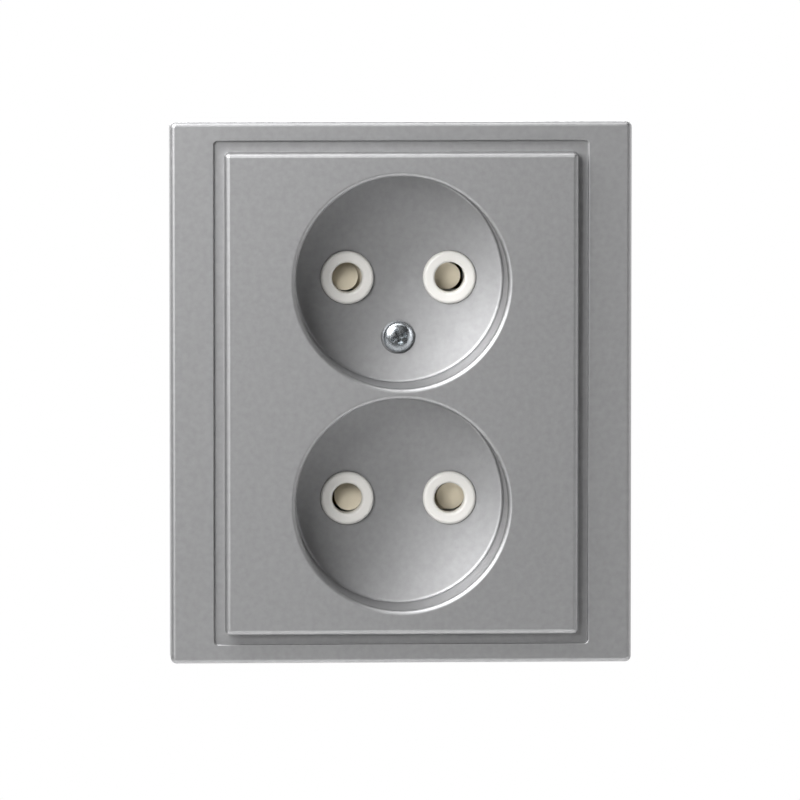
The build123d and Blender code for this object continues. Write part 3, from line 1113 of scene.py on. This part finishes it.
@dataclass
class BaseMoulding:
    """Moulded base: a finer copy of the CAD node, with funnels, panels and mould marks on its back."""

    node: str = "socket_base"
    back: float = -26.6
    entry_x: float = 14.5
    entry_y: float = 4.5
    funnel: Pair = (2.1, 1.5)
    funnel_depth: float = 0.8
    panel_x: float = 17.5
    panel_y: Pair = (9.5, 27.5)
    panel_corner: float = 1.5
    panel_depth: float = 0.35
    gauge: Pair = (0.9, 11.0)
    mark_radius: float = 1.8
    mark_depth: float = 0.12
    marks: tuple[Pair, ...] = ((7.2, 0.0), (-7.2, 0.0))
    ease: float = 0.2
    steps: int = 48

    def build(self) -> Object:
        """Copy the node and detail its back.

        Returns:
            The base in its place.
        """
        base = copy_of_node(self.node, "base_moulding")
        for sign in (1, -1):
            combine(base, self.panel(sign), Join.CUT)
            for other in (1, -1):
                combine(base, self.entry(sign * self.entry_x, other * self.entry_y), Join.CUT)
        half, length = self.gauge[0] / 2, self.gauge[1] / 2
        gauge = block("gauge", (-half, -length, self.back - OVERLAP),
                      (half, length, self.back + self.panel_depth))
        combine(base, gauge, Join.CUT)
        for place in self.marks:
            combine(base, self.mark(place), Join.CUT)
        ease_all(base, self.ease, 2, EASE_ANGLE)
        smooth(base)
        stand_up(base)
        return base

    def panel(self, sign: int) -> Object:
        """Shallow blank panel with round corners.

        Args:
            sign: 1 for the upper panel, -1 for the lower one.

        Returns:
            The tool body.
        """
        y = sorted((sign * self.panel_y[0], sign * self.panel_y[1]))
        tool = block("panel", (-self.panel_x, y[0], self.back - OVERLAP),
                     (self.panel_x, y[1], self.back + self.panel_depth))
        round_edges(tool, upright, self.panel_corner, 5)
        return tool

    def entry(self, x: float, y: float) -> Object:
        """Funnel that leads a wire into its entry.

        Args:
            x: x of the entry.
            y: y of the entry.

        Returns:
            The tool body.
        """
        wide, narrow = self.funnel
        slope = (wide - narrow) / self.funnel_depth
        low, high = self.back - SHORT_OVERLAP, self.back + self.funnel_depth
        profile = [(0, low), (wide + SHORT_OVERLAP * slope, low), (narrow, high), (0, high)]
        return lathe("funnel", profile, self.steps, (x, y))

    def mark(self, place: Pair) -> Object:
        """Round mark of a mould pin.

        Args:
            place: x and y of the mark.

        Returns:
            The tool body.
        """
        low, high = self.back - OVERLAP, self.back + self.mark_depth
        return plug("mark", self.mark_radius, low, high, self.steps, place)


@dataclass
class LeafSpring:
    """Leaf spring that bends between the housing and a moving part."""

    node: str
    name: str
    body: Body
    start: Corner
    end: Corner

    def build(self, shop: PaintShop) -> Object:
        """Copy the leaf, dress it and set it in its place.

        Args:
            shop: the finishes.

        Returns:
            The spring.
        """
        obj = copy_of_node(self.node, self.name)
        smooth(obj, BENT_ANGLE)
        stand_up(obj)
        shop.dress(obj, FinishName.SPRING)
        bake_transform(obj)
        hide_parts(self.node)
        log.info("%s bends from the housing to %s", obj.name, self.body.value)
        return obj


LEAF_SPRINGS = (
    LeafSpring("upper_shutter_spring", "upper_hairpin", Body.UPPER_SHUTTER, (0, 0, 26.2), (0, 0, 23.3)),
    LeafSpring("lower_shutter_spring", "lower_hairpin", Body.LOWER_SHUTTER, (0, 0, -26.2), (0, 0, -23.3)),
    LeafSpring("neutral_upper_clamp", "neutral_upper_leaf", Body.NEUTRAL_LEVER, (19.7, 0, 0), (17.6, 0, 0)),
    LeafSpring("neutral_lower_clamp", "neutral_lower_leaf", Body.NEUTRAL_LEVER, (19.7, 0, 0), (17.6, 0, 0)),
    LeafSpring("line_upper_clamp", "line_upper_leaf", Body.LINE_LEVER, (-19.7, 0, 0), (-17.6, 0, 0)),
    LeafSpring("line_lower_clamp", "line_lower_leaf", Body.LINE_LEVER, (-19.7, 0, 0), (-17.6, 0, 0)),
)


# Studio


def outward(azimuth: float, elevation: float) -> Vector:
    """Direction into the room, in degrees to the right of straight ahead and above level."""
    a, e = math.radians(azimuth), math.radians(elevation)
    return Vector((math.sin(a) * math.cos(e), -math.cos(a) * math.cos(e), math.sin(e)))


@dataclass(frozen=True)
class Softbox:
    """Square area lamp aimed at the middle of the socket."""

    name: str
    azimuth: float
    elevation: float
    distance: float
    size: float
    power: float

    def build(self) -> Object:
        """Hang the lamp.

        Returns:
            The lamp.
        """
        data = bpy.data.lights.new(self.name, "AREA")
        data.shape = "SQUARE"
        data.size = self.size
        data.energy = self.power
        lamp = bpy.data.objects.new(self.name, data)
        away = outward(self.azimuth, self.elevation)
        lamp.location = away * self.distance
        lamp.rotation_euler = (-away).to_track_quat("-Z", "Y").to_euler()
        bpy.context.scene.collection.objects.link(lamp)
        return lamp


SOFTBOXES = (
    Softbox("key", -25.0, 18.0, 1.2, 0.5, 8.3),
    Softbox("high_left", -58.0, 36.0, 0.35, 0.2, 1.1),
    Softbox("top_left", -50.0, 56.0, 0.6, 0.4, 2.4),
    Softbox("top", 5.0, 68.0, 0.6, 0.4, 0.9),
    Softbox("right_fill", 50.0, -8.0, 0.6, 0.4, 0.3),
    Softbox("right_side", 88.0, 5.0, 0.6, 0.4, 0.5),
    Softbox("back_left", -165.0, 25.0, 0.7, 0.45, 2.1),
    Softbox("back_right", 165.0, 25.0, 0.7, 0.45, 2.1),
)


@dataclass(frozen=True)
class Studio:
    """White backdrop, pale floor, soft lamps and the camera."""

    azimuth: float = -2.627
    elevation: float = 4.618
    distance: float = 1.8
    target: Corner = (0.000136, 0.0, -0.001961)
    pixels_per_metre: float = 5406.3
    picture: int = 800
    sensor: float = 36.0
    clip_end: float = 50.0
    ambient: float = 0.03
    backdrop: float = 1.0
    backdrop_ramp: float = 0.2
    floor_at: float = -0.30
    floor_size: float = 1.2
    floor_inset: float = 0.1
    floor_rise: float = 0.01
    floor_tone: float = 0.86
    floor_rough: float = 0.85
    floor_glow: float = 0.3

    def build(self) -> None:
        """Set up the view, the world, the floor, the lamps and the camera."""
        scene = bpy.context.scene
        scene.view_settings.view_transform = "Standard"
        self.light_world(scene)
        self.lay_floor()
        for softbox in SOFTBOXES:
            softbox.build()
        self.place_camera(scene)

    def light_world(self, scene: bpy.types.Scene) -> None:
        """Dim even light, with a white backdrop for the camera and, behind the socket, for reflections.

        Args:
            scene: the scene.
        """
        world = bpy.data.worlds.new("studio")
        scene.world = world
        world.use_nodes = True
        tree = world.node_tree
        nodes, links = tree.nodes, tree.links
        background = nodes["Background"]
        background.inputs["Color"].default_value = (1, 1, 1, 1)
        ray = nodes.new("ShaderNodeLightPath").outputs
        direction = nodes.new("ShaderNodeTexCoord")
        split = nodes.new("ShaderNodeSeparateXYZ")
        links.new(direction.outputs["Generated"], split.inputs["Vector"])
        behind = nodes.new("ShaderNodeMapRange")
        behind.inputs["From Max"].default_value = self.backdrop_ramp
        links.new(split.outputs["Y"], behind.inputs["Value"])
        mirrored = reckon(tree, "MULTIPLY", ray["Is Glossy Ray"], behind.outputs["Result"])
        clear = reckon(tree, "MAXIMUM", ray["Is Camera Ray"], ray["Is Transmission Ray"])
        seen = reckon(tree, "MAXIMUM", clear, mirrored)
        strength = nodes.new("ShaderNodeMapRange")
        strength.inputs["To Min"].default_value = self.ambient
        strength.inputs["To Max"].default_value = self.backdrop
        links.new(seen, strength.inputs["Value"])
        links.new(strength.outputs["Result"], background.inputs["Strength"])

    def lay_floor(self) -> None:
        """Pale floor below the socket, raised a little inside its rim."""
        bpy.ops.object.select_all(action="DESELECT")
        bpy.ops.mesh.primitive_plane_add(size=self.floor_size, location=(0, 0, self.floor_at))
        floor = bpy.context.active_object
        floor.name = "floor"
        bpy.ops.object.transform_apply(location=True, rotation=True, scale=True)
        with editing(floor, Pick.FACE):
            bpy.ops.mesh.select_all(action="SELECT")
            bpy.ops.mesh.inset(thickness=self.floor_inset)
            push(self.floor_rise)
        material = bpy.data.materials.new("pale_floor")
        material.use_nodes = True
        tree = material.node_tree
        shader = tree.nodes["Principled BSDF"]
        shader.inputs["Base Color"].default_value = (self.floor_tone, self.floor_tone, self.floor_tone, 1)
        shader.inputs["Roughness"].default_value = self.floor_rough
        shader.inputs["Emission Color"].default_value = (1, 1, 1, 1)
        ray = tree.nodes.new("ShaderNodeLightPath").outputs
        clear = reckon(tree, "MAXIMUM", ray["Is Camera Ray"], ray["Is Transmission Ray"])
        seen = reckon(tree, "MAXIMUM", clear, ray["Is Glossy Ray"])
        glow = reckon(tree, "MULTIPLY", seen, self.floor_glow)
        tree.links.new(glow, shader.inputs["Emission Strength"])
        floor.data.materials.append(material)

    def place_camera(self, scene: bpy.types.Scene) -> None:
        """Camera at the photograph's angle and scale.

        Args:
            scene: the scene.
        """
        data = bpy.data.cameras.new("camera")
        data.sensor_width = self.sensor
        data.lens = self.pixels_per_metre * self.distance * self.sensor / self.picture
        data.clip_end = self.clip_end
        camera = bpy.data.objects.new("camera", data)
        away = outward(self.azimuth, self.elevation)
        camera.location = Vector(self.target) + away * self.distance
        camera.rotation_euler = (-away).to_track_quat("-Z", "Y").to_euler()
        scene.collection.objects.link(camera)
        scene.camera = camera


def main() -> None:
    """Build every sub-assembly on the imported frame, dress it and set up the studio."""
    logging.basicConfig(level=logging.INFO, format="%(message)s")
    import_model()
    shop = PaintShop()

    frame = CoverFrame().build()
    shop.dress(frame, FinishName.SILVER)
    hand_over(frame, Body.HOUSING, "cover_frame")

    cover = SocketCover().build()
    shop.dress(cover, FinishName.SILVER)
    hand_over(cover, Body.HOUSING, "socket_cover")

    upper = PinGuide().build()
    lower = half_turned(upper, "lower_guide")
    for guide, node in ((upper, "upper_pin_guide"), (lower, "lower_pin_guide")):
        stand_up(guide)
        shop.dress(guide, FinishName.WHITE)
        hand_over(guide, Body.HOUSING, node)

    screw = CoverScrew().build()
    shop.dress(screw, FinishName.ZINC)
    hand_over(screw, Body.HOUSING, "cover_screw")

    base = BaseMoulding().build()
    shop.dress(base, FinishName.HOUSING)
    hand_over(base, Body.HOUSING, "socket_base")

    for piece in EASED_PIECES:
        piece.build(shop)
    for spring in LEAF_SPRINGS:
        spring.build(shop)

    Studio().build()


if __name__ == "__main__":
    main()
